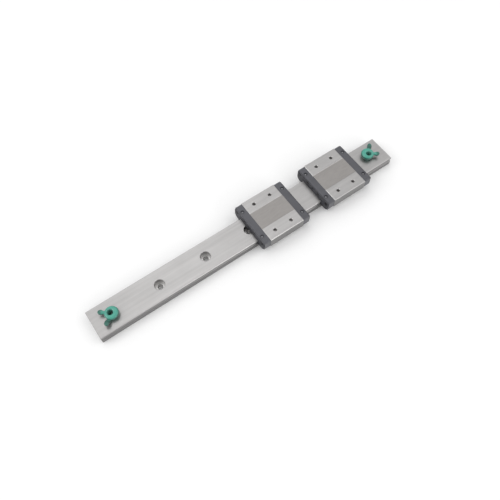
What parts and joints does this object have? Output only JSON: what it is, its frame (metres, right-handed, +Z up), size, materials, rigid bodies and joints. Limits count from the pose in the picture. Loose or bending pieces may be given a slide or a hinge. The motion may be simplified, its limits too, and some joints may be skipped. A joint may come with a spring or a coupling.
{
  "type": "linear guide",
  "caption": "Wide miniature linear guide: ground rail with caged-ball carriages that slide along it, and pull-out stops at the rail's ends.",
  "frame": {"origin": "centre of the rail's bottom face", "axes": "+X along the rail, +Y across it, +Z up out of the mounting face"},
  "size_m": [0.27, 0.04, 0.014],
  "materials": {
    "rail_steel": "ground, with fine grinding lines along the rail",
    "block_steel": "ground lands and sides, with a slightly darker relieved band between the lands",
    "end_plate_resin": "fine moulded texture",
    "turn_guide_resin": "smooth moulding",
    "seal_core_steel": "stamped sheet",
    "seal_rubber": "moulded, dull",
    "screw_steel": "black oxide",
    "ball_steel": "polished",
    "cage_resin": "smooth moulding",
    "stop_rubber": "soft moulding with a slight sheen"
  },
  "bodies": {
    "rail": {"rail": "rail_steel"},
    "stop_left": {"rail_stop_left": "stop_rubber"},
    "stop_right": {"rail_stop_right": "stop_rubber"},
    "carriage_a": {"carriage_a_block": "block_steel", "carriage_a_end_plate_left": "end_plate_resin", "carriage_a_end_plate_right": "end_plate_resin", "carriage_a_turn_guides_left": "turn_guide_resin", "carriage_a_turn_guides_right": "turn_guide_resin", "carriage_a_seal_core_left": "seal_core_steel", "carriage_a_seal_core_right": "seal_core_steel", "carriage_a_end_seal_left": "seal_rubber", "carriage_a_end_seal_right": "seal_rubber", "carriage_a_screws_left": "screw_steel", "carriage_a_screws_right": "screw_steel", "carriage_a_balls_near": "ball_steel", "carriage_a_balls_far": "ball_steel", "carriage_a_ball_cage_near": "cage_resin", "carriage_a_ball_cage_far": "cage_resin"},
    "carriage_b": {"carriage_b_block": "block_steel", "carriage_b_end_plate_left": "end_plate_resin", "carriage_b_end_plate_right": "end_plate_resin", "carriage_b_turn_guides_left": "turn_guide_resin", "carriage_b_turn_guides_right": "turn_guide_resin", "carriage_b_seal_core_left": "seal_core_steel", "carriage_b_seal_core_right": "seal_core_steel", "carriage_b_end_seal_left": "seal_rubber", "carriage_b_end_seal_right": "seal_rubber", "carriage_b_screws_left": "screw_steel", "carriage_b_screws_right": "screw_steel", "carriage_b_balls_near": "ball_steel", "carriage_b_balls_far": "ball_steel", "carriage_b_ball_cage_near": "cage_resin", "carriage_b_ball_cage_far": "cage_resin"}
  },
  "joints": [
    {"name": "carriage_a_slide", "type": "slide", "parent": "rail", "child": "carriage_a", "axis": [1, 0, 0], "range_m": [-0.1135, 0.00845]},
    {"name": "carriage_b_slide", "type": "slide", "parent": "rail", "child": "carriage_b", "axis": [1, 0, 0], "range_m": [-0.00845, 0.008]},
    {"name": "stop_left_pull", "type": "slide", "parent": "rail", "child": "stop_left", "axis": [0, 0, 1], "range_m": [0, 0.012]},
    {"name": "stop_right_pull", "type": "slide", "parent": "rail", "child": "stop_right", "axis": [0, 0, 1], "range_m": [0, 0.012]}
  ]
}
